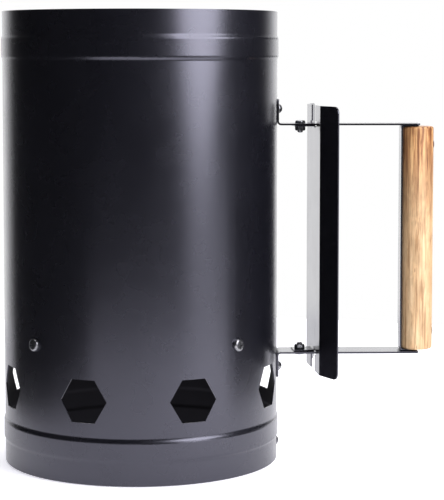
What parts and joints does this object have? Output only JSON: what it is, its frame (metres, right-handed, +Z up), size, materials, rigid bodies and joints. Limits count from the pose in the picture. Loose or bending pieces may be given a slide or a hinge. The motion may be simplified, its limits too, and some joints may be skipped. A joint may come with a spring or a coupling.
{
  "type": "chimney charcoal starter",
  "caption": "Open sheet-steel chimney with air holes and an inner grate for lighting charcoal, with a strap handle, a heat shield and a wooden grip.",
  "frame": {"origin": "centre of the tube's lower rim, on the surface that the tube stands on", "axes": "+Z up along the tube's axis, +X from the tube's axis to the handle, +Y across"},
  "size_m": [0.2847, 0.1816, 0.294],
  "materials": {
    "painted_steel": "satin dark graphite paint",
    "black_steel": "satin black paint",
    "grate_steel": "dull grey heat-proof coating",
    "plated_steel": "zinc-plated",
    "wood": "smooth, lightly oiled, grain lengthwise"
  },
  "bodies": {
    "root": {"shell": "painted_steel", "seam_rivet": "black_steel", "grate": "grate_steel", "grate_screws": "plated_steel", "grate_nuts": "plated_steel", "upper_arm": "black_steel", "lower_arm": "black_steel", "upper_arm_rivet": "plated_steel", "lower_arm_rivet": "plated_steel", "heat_shield": "black_steel", "upper_shield_bolt": "plated_steel", "upper_shield_nut": "plated_steel", "lower_shield_bolt": "plated_steel", "lower_shield_nut": "plated_steel", "grip_spine": "black_steel", "grip": "wood", "upper_grip_screw": "plated_steel", "lower_grip_screw": "plated_steel"}
  },
  "joints": []
}
